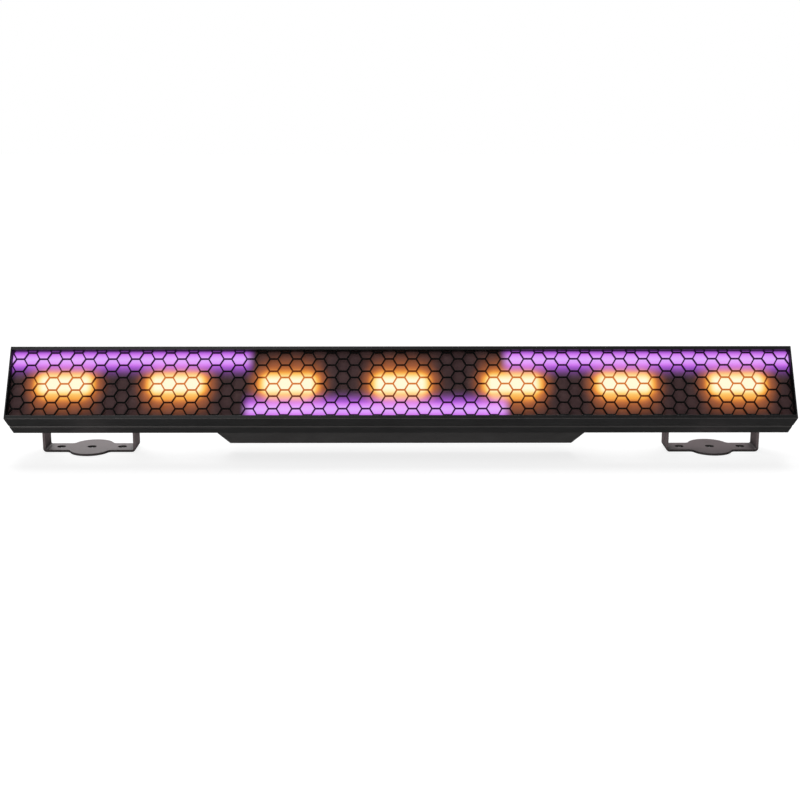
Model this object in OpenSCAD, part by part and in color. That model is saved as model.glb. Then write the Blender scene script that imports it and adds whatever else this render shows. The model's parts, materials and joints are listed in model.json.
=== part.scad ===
// Led strip batten: an extruded aluminium light bar on two swivelling U brackets.
// A black honeycomb grille covers a smoked diffuser, behind it sit warm white cells
// in reflectors and a row of colour leds along each long edge. The electronics are in
// a box on the back with sloped ends.
//
// Most modules are written in the bar's own frame and placed by in_stand():
// x runs along the bar, y goes back from the front lips, z goes up across the face.
// The bar then leans back by bar_tilt, and the brackets stand flat on z = 0.

/* [Bar] */
// Overall length over the end caps
bar_length = 1000; // [980:1:1020]
// Height of the front face
face_height = 99.2; // [98:0.1:100]
// Depth of the extruded housing
body_depth = 53; // [50:0.5:53]
// Wall thickness of the extrusion
wall = 2.2; // [2:0.1:2.6]
// How far each front lip covers the grille
lip_height = 4.6; // [4:0.1:5]
// Thickness of the sheet end caps
cap_thickness = 1.5; // [1.2:0.1:2]
// How far the bar leans back in its stand
bar_tilt = 34.5; // [30:0.5:38]

/* [Front] */
// Distance between the centres of two stacked honeycomb cells
hex_pitch = 17.04; // [16:0.01:18]
// Width of the bars between the cells
hex_wall = 1.7; // [1:0.05:2]
// Thickness of the grille sheet
grille_thickness = 2; // [1.5:0.1:2]
// Thickness of the diffuser
diffuser_thickness = 2.5; // [2:0.1:2.5]

/* [Lights] */
// Number of warm white cells
cell_count = 7; // [5:1:7]
// Number of colour leds in each edge row
pixel_count = 112; // [56:1:112]

/* [Control box] */
// Width of the box where it meets the bar
box_width_front = 475.5; // [470:0.5:490]
// Width of the box at its back
box_width_back = 449; // [445:0.5:460]
// Depth of the box
box_depth = 40.5; // [40:0.5:44]
// Height of the box
box_height = 98; // [94:0.5:98]
// Thickness of the box's steel sheet
sheet = 1.5; // [1.2:0.1:1.6]

/* [Brackets] */
// Distance from the bar's middle to the middle of each bracket
bracket_offset = 409; // [380:1:415]
// Length of a bracket over its legs
bracket_length = 121.4; // [118:0.2:124]
// Width of the bracket's strip and legs
strip_width = 34.5; // [30:0.5:35]
// Thickness of the bracket's steel
bracket_thickness = 3; // [2.5:0.1:3]
// Width of the round-ended pad in the middle of a bracket, along the bar
pad_width = 52.5; // [50:0.5:58]
// Depth of the pad, across the strip
pad_depth = 75; // [66:0.5:76]
// Outside radius of the bends
bend_radius = 5; // [4:0.5:6]
// Height of the swivel axis above the bracket's base sheet
pivot_height = 60; // [58:0.5:70]
// Depth of the swivel axis behind the front lips
pivot_depth = 71; // [71:0.5:74]
// Diameter of a fixing hole
fixing_diameter = 12; // [10:0.5:13]
// Distance between neighbouring fixing holes
fixing_spacing = 40.3; // [38:0.1:42]

/* [Hidden] */
$fn = 48;
eps = 0.01;

// Housing
body_length = bar_length - 2 * cap_thickness;
half_face = face_height / 2;
inner_half = half_face - wall;
lip_depth = 3;
rail_height = 1.5;
edge_chamfer = 0.6;
groove_front = 25.6;
groove_width = 1.6;
groove_cut = 1.2;
shoulder_back = 35;
notch_length = 8;
notch_width = 3.2;
notch_depth = 1.6;
port_radius = 2.9;
port_bore = 1.35;
cap_screw_length = 9;
plug_length = 3;
port_z = inner_half - port_radius + 0.3;
port_places = [[24, port_z], [body_depth - wall - 4.6, port_z]];
wire_bore = 6;
wire_offset = bar_length / 14;

// Layers behind the lips, as distances from the front
layer_gap = 0.2;
grille_front = lip_depth + layer_gap;
diffuser_front = 8;
diffuser_back = diffuser_front + diffuser_thickness;
tray_front = 36;
tray_thickness = 1.5;
tray_back = tray_front + tray_thickness;
board_thickness = 1.6;
board_front = tray_front - board_thickness;
panel_half = inner_half - 0.5;
panel_length = body_length - 1;
tray_length = body_length - 9;

// Honeycomb
hex_column = hex_pitch * sqrt(3) / 2;
hex_radius = (hex_pitch - hex_wall) / sqrt(3);
hex_z0 = -0.6;
hex_columns = ceil(bar_length / 2 / hex_column);
hex_rows = 3;
window_half = half_face - lip_height + 0.4;
window_length = panel_length - 2;

// Lights
cell_spacing = bar_length / cell_count;
cell_middle = (cell_count + 1) / 2;
white_board = [76, 30];
emitter_spacing = 36;
emitter_radius = 8;
emitter_height = 0.8;
board_screw_x = 34;
reflector_small = [56, 22];
reflector_large = [100, 44];
reflector_wall = 1.2;
reflector_front = 11;
reflector_back = board_front - layer_gap;
baffle_z = 24;
baffle_thickness = 1;
baffle_foot = 3.5;
rgb_board_low = 29;
rgb_board_height = 14;
rgb_led_z = 34;
rgb_led_size = 5;
rgb_screw_z = 40.3;
rgb_screw_count = 6;
pixel_pitch = (tray_length - 12) / pixel_count;

// Control box
box_back = body_depth + box_depth;
cover_front = box_back - sheet;
rim_back = cover_front - 0.1;
box_slope = (box_width_front - box_width_back) / 2 / box_depth;
end_slope = atan(box_slope);
rim_width = 9;
cover_screw_x = [70, 205];
cover_screw_z = 42;
vent_x = 165;
vent_count = 9;
vent_pitch = 5.5;
vent_width = 2.4;
vent_height = 26;

// Display and buttons, behind and in the rear cover
display_x = -30;
window_size = [52, 22];
window_gap = 0.15;
display_board_front = 80;
display_board_back = display_board_front + board_thickness;
button_count = 4;
button_x0 = 16;
button_pitch = 16;
button_radius = 4;
button_gap = 0.1;
button_proud = 1.8;
button_travel = 1;

// Circuit boards in the box
circuit_board_front = body_depth + 6;
circuit_board_back = circuit_board_front + board_thickness;
psu_x = -122;
psu_size = [150, 74];
control_x = 120;
control_size = [120, 70];

// Sockets on the sloped ends, stacked by height
socket_depth_at = 71;
flange = [31, 26, 2];
barrel_radius = 11.6;
barrel_length = 20;
cavity_radius = 9.6;
cavity_depth = 12;
socket_screw = [12, 9.5];
power_inlet_z = 30;
power_outlet_z = -4;
fuse_z = -34;
dmx_inlet_z = 24;
dmx_outlet_z = -16;
pin_radius = 1.2;
pin_circle = 5;
pin_length = 5;
latch_size = [3.8, 7];
latch_x = -12.7;
latch_gap = 0.3;
latch_proud = 1.3;
socket_gap = 0.3;
socket_ring = 1.8;
socket_screw_head = 2.4;
fuse_bore = 5.08;
fuse_barrel = 6.3;
fuse_flange = 8.5;
fuse_cap_radius = 6.6;
fuse_cap_gap = 0.08;

// Brackets and their clamps
half_bracket = bracket_length / 2;
pivot_z = pivot_height + bracket_thickness;
stud_radius = 3;
fit_gap = 0.05;
slip_gap = 0.15;
washer_thickness = 1;
washer_radius = 12;
ear_thickness = 4;
ear_radius = 14;
ear_outer = half_bracket - bracket_thickness - slip_gap - washer_thickness;
lug_base = [22, 34, 3];
lug_screw_x = ear_outer - 15.5;
lug_screw_z = 10;
blend_radius = 6;
knob_radius = 14;
knob_length = 11;
hub_radius = 8;
hub_length = 4;

// Screws
m3_radius = 1.5;
m3_head = 2.8;
m4_radius = 1.9;
m4_head = 3.5;
flat_shank = 1.3;
flat_head = 2.7;
flat_rim = 0.2;
flat_cone = 1.45;
hole_gap = 0.1;
head_gap = 0.15;

// Middle of the whole object from front to back, so that the origin is under it
front_reach = pivot_depth * cos(bar_tilt) + (half_face - edge_chamfer) * sin(bar_tilt);
back_reach = (box_back - pivot_depth) * cos(bar_tilt) + box_height / 2 * sin(bar_tilt);
pivot_y = (front_reach - back_reach) / 2;

SIDES = ["left", "right"];
ENDS = ["outer", "inner"];

// ---------- placing helpers ----------

// Puts shapes drawn in the bar's frame into the standing pose
module in_stand() {
    translate([0, pivot_y, pivot_z])
        rotate([-bar_tilt, 0, 0])
            translate([0, -pivot_depth, 0])
                children();
}

// Extrudes a shape drawn in (y, z) along the bar
module along_bar(length) {
    rotate([90, 0, 90])
        linear_extrude(length, center = true)
            children();
}

// A block that spans x and z about their given middles and y from front to back
module slab(x, z, width, height, front, back) {
    translate([x - width / 2, front, z - height / 2])
        cube([width, back - front, height]);
}

// Lays a cylinder's axis along the depth, starting at the given depth
module rearward(x, depth, z) {
    translate([x, depth, z])
        rotate([-90, 0, 0])
            children();
}

// Local z points out of the box's sloped end, local x points down
module at_end(side, height) {
    mirror([side < 0 ? 1 : 0, 0, 0])
        translate([box_half(socket_depth_at), socket_depth_at, height])
            rotate([0, 90, end_slope])
                children();
}

// Local z points outwards along the swivel axis of one bracket leg
module at_leg(side, end) {
    translate([side * bracket_offset, pivot_depth, 0])
        rotate([0, side * end * 90, 0])
            children();
}

function side_sign(name) = name == "left" ? -1 : 1;
function end_sign(name) = name == "outer" ? 1 : -1;
function cell_x(i) = (i - cell_middle) * cell_spacing;
function box_half(depth) = box_width_front / 2 - (depth - body_depth) * box_slope;
function button_x(i) = button_x0 + (i - 1) * button_pitch;
function rgb_screw_x(i) = (i - (rgb_screw_count - 1) / 2) * tray_length / rgb_screw_count;

// ---------- fasteners ----------

// Pan head screw, head up from z = 0 and shank down
module pan_screw(radius, head, length) {
    height = head * 0.55;
    cross_length = head * 1.2;
    cross_width = 0.6;
    cross_floor = head * 0.3;
    cylinder(r = radius, h = length + height - eps);
    translate([0, 0, length])
        difference() {
            cylinder(r = head, h = height);
            for (a = [0, 90])
                rotate([0, 0, a])
                    translate([-cross_length / 2, -cross_width / 2, cross_floor])
                        cube([cross_length, cross_width, head]);
        }
}

// Countersunk screw, head flush at z = 0 and shank down
module flat_screw(length) {
    rotate_extrude()
        polygon([[0, 0], [flat_head, 0], [flat_head, -flat_rim], [flat_shank, -flat_cone],
                 [flat_shank, -length], [0, -length]]);
}

// ---------- housing ----------

// Outline of the extrusion with chamfered edges and a grooved top and bottom, in (y, z)
module body_outline() {
    c = edge_chamfer;
    h = half_face;
    d = body_depth;
    difference() {
        polygon([[c, -h], [d - c, -h], [d, c - h], [d, h - c],
                 [d - c, h], [c, h], [0, h - c], [0, c - h]]);
        for (m = [0, 1])
            mirror([0, m])
                groove_outline();
    }
}

// Fine groove with a long rounded shoulder behind it, which meets the surface level at its back
module groove_outline() {
    shoulder = shoulder_back - groove_front - groove_width;
    shoulder_radius = (shoulder * shoulder + groove_cut * groove_cut) / (2 * groove_cut);
    difference() {
        translate([groove_front, half_face - groove_cut])
            square([shoulder_back - groove_front, 2 * groove_cut]);
        translate([shoulder_back, half_face - shoulder_radius])
            circle(r = shoulder_radius);
    }
}

// A pair of low rails inside the top and bottom walls
module rails(front, back) {
    for (s = [-1, 1])
        translate([front, s > 0 ? inner_half - rail_height : -inner_half - eps])
            square([back - front, rail_height + eps]);
}

module body_profile() {
    difference() {
        body_outline();
        translate([lip_depth, -inner_half])
            square([body_depth - wall - lip_depth, 2 * inner_half]);
        translate([-1, lip_height - half_face])
            square([lip_depth + 2, 2 * (half_face - lip_height)]);
    }
    rails(grille_front + grille_thickness + layer_gap, diffuser_front - layer_gap);
    rails(diffuser_back + layer_gap, diffuser_back + 2);
    rails(tray_front - 2, tray_front - layer_gap);
    rails(tray_back + layer_gap, tray_back + 2);
    for (p = port_places)
        for (s = [-1, 1])
            translate([p[0], s * p[1]])
                circle(r = port_radius);
}

// Notches at both ends of the two grooves
module end_notches() {
    for (sx = [-1, 1])
        for (sz = [-1, 1])
            translate([sx * bar_length / 2, groove_front + notch_width / 2, sz * half_face])
                cube([2 * notch_length, notch_width, 2 * notch_depth], center = true);
}

module housing_extrusion() {
    color("#1c1c1d")
        difference() {
            along_bar(body_length)
                body_profile();
            for (p = port_places)
                for (s = [-1, 1])
                    translate([-bar_length / 2, p[0], s * p[1]])
                        rotate([0, 90, 0])
                            cylinder(r = port_bore, h = bar_length);
            for (s = [-1, 1])
                rearward(s * wire_offset, tray_back + 3, 0)
                    cylinder(r = wire_bore, h = body_depth);
            lug_screw_spots()
                translate([0, 0, -10])
                    cylinder(r = m4_radius + hole_gap, h = 20);
            end_notches();
        }
}

module end_cap(side) {
    color("#1c1c1d")
        mirror([side < 0 ? 1 : 0, 0, 0])
            difference() {
                union() {
                    translate([(body_length + cap_thickness) / 2, 0, 0])
                        along_bar(cap_thickness)
                            body_outline();
                    slab(body_length / 2 - plug_length / 2 + eps, 0, plug_length, 80, 13, 32);
                }
                for (p = port_places)
                    for (s = [-1, 1])
                        translate([bar_length / 2, p[0], s * p[1]])
                            rotate([0, 90, 0])
                                cap_screw_hole();
                end_notches();
            }
}

// Countersunk hole with its mouth at z = 0
module cap_screw_hole() {
    mouth = flat_head + head_gap;
    bore = flat_shank + hole_gap;
    rotate_extrude()
        polygon([[0, 1], [mouth, 1], [mouth, -flat_rim - 0.05], [bore, -flat_cone - head_gap],
                 [bore, -cap_screw_length], [0, -cap_screw_length]]);
}

module end_cap_screws() {
    color("#3a3a3c")
        for (side = [-1, 1])
            for (p = port_places)
                for (s = [-1, 1])
                    translate([side * (bar_length / 2 - 0.05), p[0], s * p[1]])
                        rotate([0, side * 90, 0])
                            flat_screw(cap_screw_length);
}

// ---------- front ----------

// Centres of the honeycomb cells in (x, z): odd columns are half a cell higher
module hex_field() {
    for (k = [-hex_columns:hex_columns])
        for (j = [-hex_rows:hex_rows])
            translate([k * hex_column, hex_z0 + (j + (k % 2 == 0 ? 0 : 0.5)) * hex_pitch])
                circle(r = hex_radius, $fn = 6);
}

module honeycomb_grille() {
    color("#101010")
        translate([0, grille_front + grille_thickness, 0])
            rotate([90, 0, 0])
                linear_extrude(grille_thickness)
                    difference() {
                        square([panel_length, 2 * panel_half], center = true);
                        intersection() {
                            hex_field();
                            square([window_length, 2 * window_half], center = true);
                        }
                    }
}

module diffuser_panel() {
    color("#3c3232")
        slab(0, 0, panel_length, 2 * panel_half, diffuser_front, diffuser_back);
}

// ---------- lights ----------

module led_tray() {
    color("#b8babc")
        difference() {
            slab(0, 0, tray_length, 2 * panel_half, tray_front, tray_back);
            for (s = [-1, 1])
                rearward(s * wire_offset, tray_front - 1, 0)
                    cylinder(r = 4, h = 4);
            tray_screw_spots()
                translate([0, 0, -4])
                    cylinder(r = m3_radius + hole_gap, h = 8);
        }
}

// Each spot has its local z pointing forwards, with z = 0 on the boards' front faces
module tray_screw_spots() {
    for (i = [1:cell_count])
        for (s = [-1, 1])
            translate([cell_x(i) + s * board_screw_x, board_front, 0])
                rotate([90, 0, 0])
                    children();
    for (i = [0:rgb_screw_count - 1])
        for (s = [-1, 1])
            translate([rgb_screw_x(i), board_front, s * rgb_screw_z])
                rotate([90, 0, 0])
                    children();
}

module tray_screws() {
    color("#c8c8c8")
        tray_screw_spots()
            translate([0, 0, -4])
                pan_screw(m3_radius, 2.1, 4);
}

module white_led_board(i) {
    color("#e8e8e4")
        difference() {
            slab(cell_x(i), 0, white_board[0], white_board[1], board_front, tray_front);
            for (s = [-1, 1])
                rearward(cell_x(i) + s * board_screw_x, board_front - 1, 0)
                    cylinder(r = m3_radius + hole_gap, h = 4);
        }
    color("#f2c33c")
        for (s = [-1, 1])
            rearward(cell_x(i) + s * emitter_spacing / 2, board_front - emitter_height, 0)
                cylinder(r = emitter_radius, h = emitter_height + eps);
}

// Pyramid between the emitters and the diffuser, grown sideways by a wall
module reflector_shape(grow) {
    hull() {
        slab(0, 0, reflector_small[0] + 2 * grow, reflector_small[1] + 2 * grow,
             reflector_back - eps, reflector_back);
        slab(0, 0, reflector_large[0] + 2 * grow, reflector_large[1] + 2 * grow,
             reflector_front, reflector_front + eps);
    }
}

module reflector(i) {
    color("#dcdcd8")
        translate([cell_x(i), 0, 0])
            difference() {
                reflector_shape(reflector_wall);
                reflector_shape(0);
                slab(0, 0, reflector_small[0], reflector_small[1],
                     reflector_back - 0.5, reflector_back + 1);
                slab(0, 0, reflector_large[0], reflector_large[1],
                     reflector_front - 1, reflector_front + 0.5);
            }
}

module baffles() {
    color("#161616")
        for (s = [-1, 1])
            along_bar(tray_length - 2)
                scale([1, s]) {
                    translate([reflector_front, baffle_z])
                        square([tray_front - reflector_front, baffle_thickness]);
                    translate([tray_front - baffle_thickness, baffle_z])
                        square([baffle_thickness, baffle_foot + baffle_thickness]);
                }
}

module rgb_board(s) {
    color("#e4e4e0")
        difference() {
            slab(0, s * (rgb_board_low + rgb_board_height / 2), tray_length - 4, rgb_board_height,
                 board_front, tray_front);
            for (i = [0:rgb_screw_count - 1])
                rearward(rgb_screw_x(i), board_front - 1, s * rgb_screw_z)
                    cylinder(r = m3_radius + hole_gap, h = 4);
        }
}

module rgb_leds(s) {
    color("#f4f4f4")
        for (i = [0:pixel_count - 1])
            slab((i - (pixel_count - 1) / 2) * pixel_pitch, s * rgb_led_z, rgb_led_size, rgb_led_size,
                 board_front - 1.6, board_front);
}

// ---------- control box ----------

// Plan of the box between two depths, shrunk by an inset, from z = -height/2 up
module box_block(front, back, inset, height) {
    wf = box_half(front) - inset;
    wb = box_half(back) - inset;
    translate([0, 0, -height / 2])
        linear_extrude(height)
            polygon([[-wf, front], [wf, front], [wb, back], [-wb, back]]);
}

module control_box() {
    color("#1e1e1f")
        difference() {
            box_block(body_depth, rim_back, 0, box_height);
            box_block(body_depth - 1, rim_back - sheet, sheet, box_height - 2 * sheet);
            box_block(rim_back - 2 * sheet, rim_back + 1, rim_width, box_height - 2 * rim_width);
            cover_screw_spots()
                translate([0, 0, -6])
                    cylinder(r = m3_radius + hole_gap, h = 9);
            for (side = [-1, 1])
                for (h = socket_heights(side))
                    at_end(side, h)
                        socket_cutout();
            at_end(1, dmx_outlet_z)
                latch_block(latch_gap, -8, 4);
            at_end(-1, fuse_z)
                translate([0, 0, -5])
                    cylinder(r = fuse_barrel + socket_gap, h = 10);
        }
}

function socket_heights(side) = side < 0 ? [power_inlet_z, power_outlet_z] : [dmx_inlet_z, dmx_outlet_z];

module socket_cutout() {
    translate([0, 0, -5])
        cylinder(r = barrel_radius + socket_gap, h = 10);
    socket_screw_spots()
        translate([0, 0, -5])
            cylinder(r = m3_radius + hole_gap, h = 10);
}

// Local z = 0 is the outside of the flange
module socket_screw_spots() {
    for (s = [-1, 1])
        translate([s * socket_screw[0], -s * socket_screw[1], flange[2]])
            children();
}

// Local z = 0 is the outside of the cover, local z points back
module cover_screw_spots() {
    for (x = cover_screw_x)
        for (sx = [-1, 1])
            for (sz = [-1, 1])
                rearward(sx * x, box_back, sz * cover_screw_z)
                    children();
}

// Local z = 0 is on a lug's base, local z points back
module lug_screw_spots() {
    for (side = [-1, 1])
        for (end = [-1, 1])
            for (s = [-1, 1])
                rearward(side * bracket_offset + end * lug_screw_x, body_depth + lug_base[2], s * lug_screw_z)
                    children();
}

module rear_cover() {
    color("#1e1e1f")
        difference() {
            box_block(cover_front, box_back, 0, box_height);
            slab(display_x, 0, window_size[0] + 2 * window_gap, window_size[1] + 2 * window_gap,
                 cover_front - 1, box_back + 1);
            for (i = [1:button_count])
                rearward(button_x(i), cover_front - 1, 0)
                    cylinder(r = button_radius + button_gap, h = 4);
            cover_screw_spots()
                translate([0, 0, -4])
                    cylinder(r = m3_radius + hole_gap, h = 8);
            for (s = [-1, 1])
                for (i = [0:vent_count - 1])
                    slab(s * vent_x + (i - (vent_count - 1) / 2) * vent_pitch, 0, vent_width, vent_height,
                         cover_front - 1, box_back + 1);
        }
}

module panel_screws() {
    color("#48484a") {
        cover_screw_spots()
            translate([0, 0, -4])
                pan_screw(m3_radius, m3_head, 4);
        lug_screw_spots()
            translate([0, 0, -9])
                pan_screw(m4_radius, m4_head, 9);
        for (side = [-1, 1])
            for (h = socket_heights(side))
                at_end(side, h)
                    socket_screw_spots()
                        translate([0, 0, -5])
                            pan_screw(m3_radius, socket_screw_head, 5);
    }
}

// Eye for a safety cable, welded to a small foot on the rear cover
module safety_eye() {
    x = -100;
    z = -8;
    reach = 11;
    ring_radius = 9;
    eye_radius = 5;
    plate = 2.5;
    color("#8a8c8e")
        difference() {
            union() {
                slab(x, z, 20, 24, box_back, box_back + 2);
                slab(x, z, plate, 2 * ring_radius, box_back, box_back + reach);
                translate([x - plate / 2, box_back + reach, z])
                    rotate([0, 90, 0])
                        cylinder(r = ring_radius, h = plate);
            }
            translate([x - eye_radius, box_back + reach, z])
                rotate([0, 90, 0])
                    cylinder(r = eye_radius, h = 10);
        }
}

module display_window() {
    color("#0c0c10")
        slab(display_x, 0, window_size[0], window_size[1], cover_front, box_back);
}

module display_board() {
    board_left = display_x - 32;
    board_right = button_x(button_count) + 12;
    color("#1d5b34")
        slab((board_left + board_right) / 2, 0, board_right - board_left, 34,
             display_board_front, display_board_back);
    color("#202020")
        slab(display_x, 0, 44, 16, display_board_back - eps, cover_front - 2);
    color("#d0d0d0")
        for (i = [1:button_count]) {
            slab(button_x(i), 0, 6, 6, display_board_back - eps, display_board_back + 3.5);
            rearward(button_x(i), display_board_back + 3, 0)
                cylinder(r = 1.7, h = 1);
        }
}

module menu_button(i) {
    inner_end = display_board_back + 4 + button_travel + 0.2;
    color("#2c2c2e") {
        rearward(button_x(i), inner_end, 0)
            cylinder(r = button_radius, h = box_back + button_proud - inner_end);
        rearward(button_x(i), cover_front - 1.3, 0)
            cylinder(r = button_radius + 1.2, h = 1.1);
    }
}

module control_board() {
    color("#1d5b34")
        slab(control_x, 0, control_size[0], control_size[1], circuit_board_front, circuit_board_back);
    color("#222224") {
        slab(control_x - 10, 5, 14, 14, circuit_board_back - eps, circuit_board_back + 1.6);
        slab(control_x + 15, 5, 8, 5, circuit_board_back - eps, circuit_board_back + 1.6);
        slab(control_x + 15, -8, 8, 5, circuit_board_back - eps, circuit_board_back + 1.6);
    }
    color("#e8e8e0")
        for (s = [-1, 1])
            slab(control_x + s * 38, 26, 26, 7, circuit_board_back - eps, circuit_board_back + 9);
}

module power_supply_board() {
    color("#8a6a32")
        slab(psu_x, 0, psu_size[0], psu_size[1], circuit_board_front, circuit_board_back);
}

// Transformer, choke, capacitors and heat sink, each soldered to the power supply board
module power_supply_parts() {
    color("#c9a83a")
        slab(psu_x, 8, 36, 34, circuit_board_back, circuit_board_back + 25);
    color("#3a3a3e")
        slab(psu_x - 50, 18, 22, 20, circuit_board_back, circuit_board_back + 18);
    color("#28406e")
        for (p = [[-52, -16, 9], [-30, -18, 9], [42, 20, 7], [42, 2, 7], [42, -16, 7]])
            rearward(psu_x + p[0], circuit_board_back, p[1])
                cylinder(r = p[2], h = 24);
    color("#a8aaac")
        slab(psu_x + 2, -26, 36, 4, circuit_board_back, circuit_board_back + 24);
}

module board_standoffs() {
    color("#c8a850")
        for (b = [[psu_x, psu_size], [control_x, control_size]])
            for (sx = [-1, 1])
                for (sz = [-1, 1])
                    rearward(b[0] + sx * (b[1][0] / 2 - 5), body_depth, sz * (b[1][1] / 2 - 5))
                        cylinder(r = 2.6, h = circuit_board_front - body_depth);
}

// Short wires that join the circuit boards to the led tray through the grommets
module wire_harness() {
    color("#a02020")
        for (s = [-1, 1])
            for (z = [-3, 0, 3])
                rearward(s * wire_offset, tray_back, z)
                    cylinder(r = 1.1, h = circuit_board_front - tray_back);
}

module wire_grommets() {
    color("#151515")
        for (s = [-1, 1])
            rearward(s * wire_offset, body_depth - wall, 0)
                difference() {
                    union() {
                        cylinder(r = wire_bore - fit_gap, h = wall);
                        translate([0, 0, wall])
                            cylinder(r = wire_bore + 2, h = 1.2);
                    }
                    translate([0, 0, -1])
                        cylinder(r = 4.6, h = wall + 4);
                }
}

// ---------- sockets ----------

// Panel socket: flange and barrel with a round cavity, local z out of the box
module panel_socket() {
    difference() {
        union() {
            translate([-flange[0] / 2, -flange[1] / 2, 0])
                cube(flange);
            translate([0, 0, -barrel_length])
                cylinder(r = barrel_radius, h = barrel_length + 1);
        }
        translate([0, 0, flange[2] - cavity_depth])
            cylinder(r = cavity_radius, h = cavity_depth + 1);
        socket_screw_spots()
            translate([0, 0, -5])
                cylinder(r = m3_radius + hole_gap, h = 8);
    }
}

// Block through the flange above the cavity, where the latch slides
module latch_block(grow, low, high) {
    translate([latch_x - latch_size[0] / 2 - grow, -latch_size[1] / 2 - grow, low])
        cube([latch_size[0] + 2 * grow, latch_size[1] + 2 * grow, high - low]);
}

module power_inlet() {
    color("#2a4a86")
        at_end(-1, power_inlet_z)
            panel_socket();
}

module power_outlet() {
    color("#c4c4c0")
        at_end(-1, power_outlet_z)
            panel_socket();
}

module dmx_inlet() {
    color("#232325")
        at_end(1, dmx_inlet_z)
            panel_socket();
}

// The outlet has a core with three contact holes inside its cavity
module dmx_outlet() {
    floor_z = flange[2] - cavity_depth;
    color("#232325")
        at_end(1, dmx_outlet_z)
            difference() {
                union() {
                    panel_socket();
                    translate([0, 0, floor_z - 1])
                        cylinder(r = cavity_radius - socket_ring, h = cavity_depth);
                }
                three_pins()
                    translate([0, 0, floor_z + 1])
                        cylinder(r = pin_radius + socket_gap, h = cavity_depth);
                latch_block(latch_gap, -8, 4);
            }
}

module three_pins() {
    for (a = [30, 150, 270])
        rotate([0, 0, a])
            translate([pin_circle, 0, 0])
                children();
}

// Contact pins of the three sockets that have an open cavity
module socket_pins() {
    color("#c8a850")
        for (p = [[-1, power_inlet_z], [-1, power_outlet_z], [1, dmx_inlet_z]])
            at_end(p[0], p[1])
                translate([0, 0, flange[2] - cavity_depth])
                    three_pins()
                        cylinder(r = pin_radius, h = pin_length);
}

module dmx_latch() {
    color("#9a9c9e")
        at_end(1, dmx_outlet_z)
            latch_block(0, -4, flange[2] + latch_proud);
}

module fuse_holder() {
    color("#1a1a1a")
        at_end(-1, fuse_z)
            difference() {
                union() {
                    cylinder(r = fuse_flange, h = 2);
                    translate([0, 0, -30])
                        cylinder(r = fuse_barrel, h = 31);
                }
                translate([0, 0, -28])
                    cylinder(r = fuse_bore, h = 40);
            }
}

module fuse_cap() {
    color("#262626")
        at_end(-1, fuse_z)
            difference() {
                union() {
                    translate([0, 0, 2.2])
                        cylinder(r = fuse_cap_radius, h = 3.4);
                    translate([0, 0, -4])
                        cylinder(r = fuse_bore - fuse_cap_gap, h = 7);
                }
                translate([-5, -0.6, 4.4])
                    cube([10, 1.2, 2]);
            }
}

module fuse_link() {
    color("#d8dce0")
        at_end(-1, fuse_z)
            translate([0, 0, -26])
                cylinder(r = 2.6, h = 20);
}

// ---------- brackets ----------

// L-shaped lug that carries one bracket leg, drawn with local z outwards along the axis
module pivot_lug(side, end) {
    dir = side * end;
    base_x = side * bracket_offset + end * side * (ear_outer - lug_base[0] / 2);
    difference() {
        union() {
            slab(base_x, 0, lug_base[0], lug_base[1], body_depth, body_depth + lug_base[2]);
            at_leg(side, end)
                translate([0, 0, ear_outer - ear_thickness])
                    cylinder(r = ear_radius, h = ear_thickness);
            slab(side * bracket_offset + dir * (ear_outer - ear_thickness / 2), 0, ear_thickness,
                 2 * ear_radius, body_depth, pivot_depth);
        }
        at_leg(side, end)
            translate([0, 0, ear_outer - 2 * ear_thickness])
                cylinder(r = stud_radius + fit_gap, h = 3 * ear_thickness);
        lug_screw_spots()
            translate([0, 0, -6])
                cylinder(r = m4_radius + hole_gap, h = 9);
    }
}

module pivot_lugs() {
    color("#2a2a2c")
        for (side = [-1, 1])
            for (end = [-1, 1])
                pivot_lug(side, end);
}

module friction_washers() {
    color("#6b4a34")
        for (side = [-1, 1])
            for (end = [-1, 1])
                at_leg(side, end)
                    translate([0, 0, ear_outer])
                        difference() {
                            cylinder(r = washer_radius, h = washer_thickness);
                            translate([0, 0, -1])
                                cylinder(r = stud_radius + 0.3, h = 3);
                        }
}

// Star knob with its clamping stud through the leg and the lug
module clamp_knob(side, end) {
    hub_z = half_bracket + slip_gap;
    stud_z = ear_outer - ear_thickness - 3;
    color("#18181a")
        at_leg(side, end) {
            difference() {
                translate([0, 0, hub_z + hub_length])
                    cylinder(r = knob_radius, h = knob_length);
                for (a = [0:60:300])
                    rotate([0, 0, a])
                        translate([knob_radius + 3, 0, hub_z])
                            cylinder(r = 5.5, h = knob_length + hub_length + 1);
            }
            translate([0, 0, hub_z])
                cylinder(r = hub_radius, h = hub_length + 1);
            translate([0, 0, stud_z])
                cylinder(r = stud_radius, h = hub_z - stud_z + 1);
        }
}

// Outline of the pad, two round ends joined by straight sides
module pad_outline() {
    end_y = (pad_depth - pad_width) / 2;
    square([pad_width, 2 * end_y], center = true);
    for (s = [-1, 1])
        translate([0, s * end_y])
            circle(d = pad_width);
}

// Fillet between the pad and the strip in one quarter of the base
module pad_blend() {
    pad_radius = pad_width / 2;
    end_y = pad_depth / 2 - pad_radius;
    reach = pad_radius + blend_radius;
    side_y = strip_width / 2 + blend_radius;
    rise = side_y - end_y;
    side_x = sqrt(reach * reach - rise * rise);
    touch = pad_radius / reach;
    linear_extrude(bracket_thickness)
        difference() {
            polygon([[0, 0], [side_x, 0], [side_x, side_y], [side_x * touch, end_y + rise * touch]]);
            translate([side_x, side_y])
                circle(r = blend_radius);
        }
}

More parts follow.
